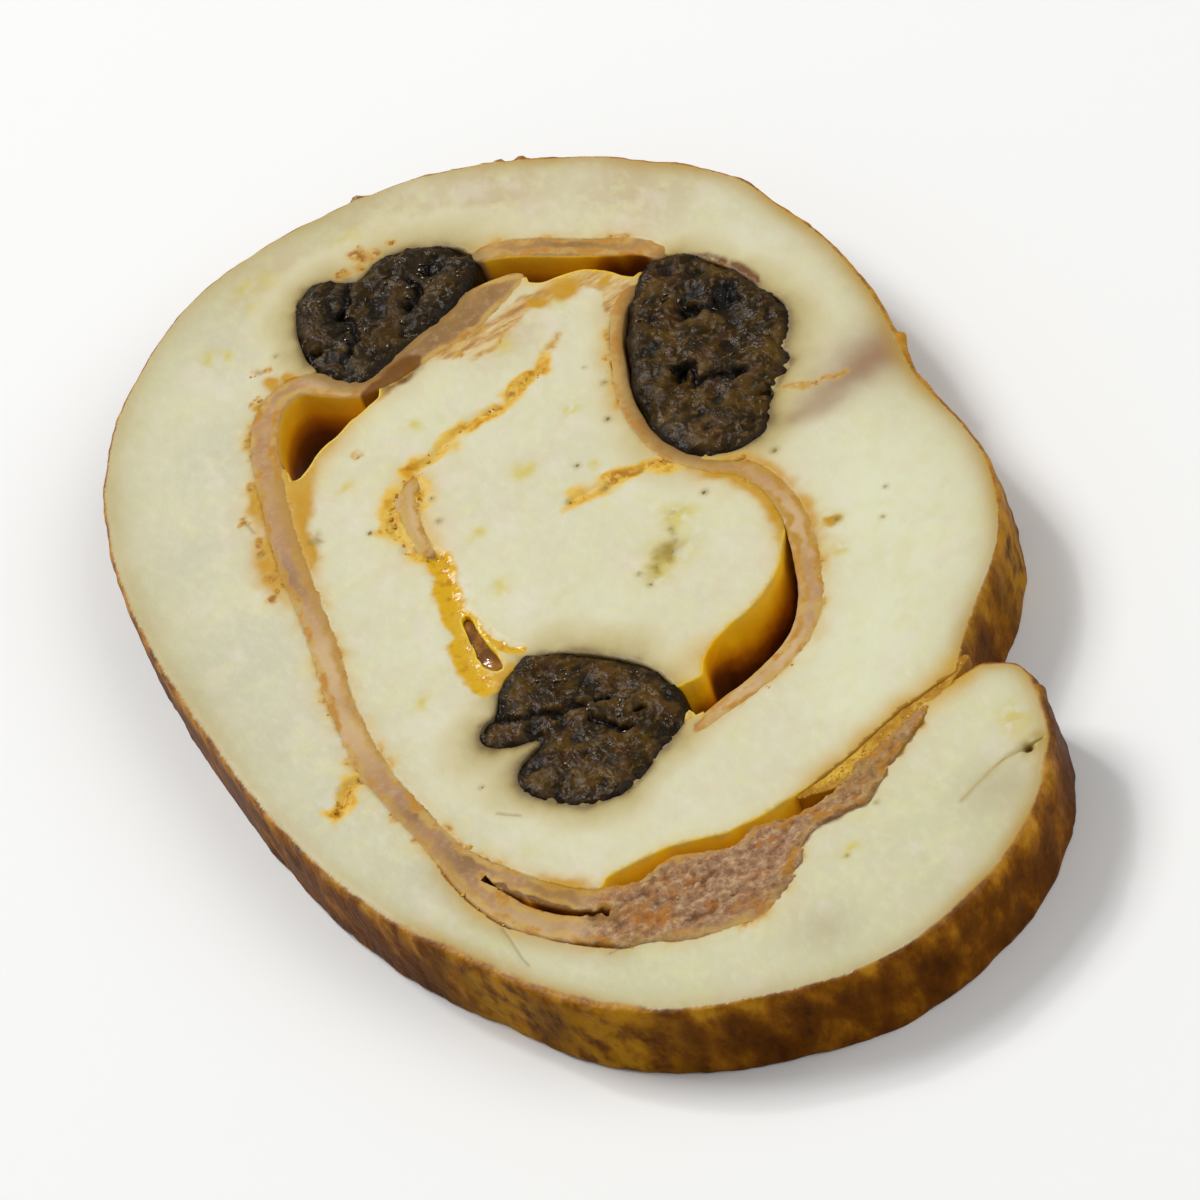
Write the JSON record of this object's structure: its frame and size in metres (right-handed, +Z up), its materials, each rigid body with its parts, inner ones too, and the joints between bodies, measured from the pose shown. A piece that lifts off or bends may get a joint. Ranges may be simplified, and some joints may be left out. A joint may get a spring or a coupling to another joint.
{
  "type": "turkey roll slice",
  "caption": "Oval slice of cooked turkey roll, cut across: a strip of breast meat rolled up with thin ham and whole prunes, browned on the outside.",
  "frame": {"origin": "centre of the slice's box in X and Y, at the height of its back face, which lies on the surface below", "axes": "+Z up out of the cut face that shows, +Y along the slice's longer way towards the prune at its far end, +X to the right of it"},
  "size_m": [0.0676, 0.1104, 0.0086],
  "materials": {
    "turkey": "moist cooked turkey breast, cream white with a fine grain, browned skin at the side",
    "ham": "moist cooked ham, dull pink",
    "prune": "sticky cooked prune, nearly black brown"
  },
  "bodies": {
    "root": {"turkey": "turkey", "ham_outer": "ham", "ham_top": "ham", "ham_inner": "ham", "ham_core": "ham", "prune_top": "prune", "prune_right": "prune", "prune_lower": "prune"}
  },
  "joints": []
}
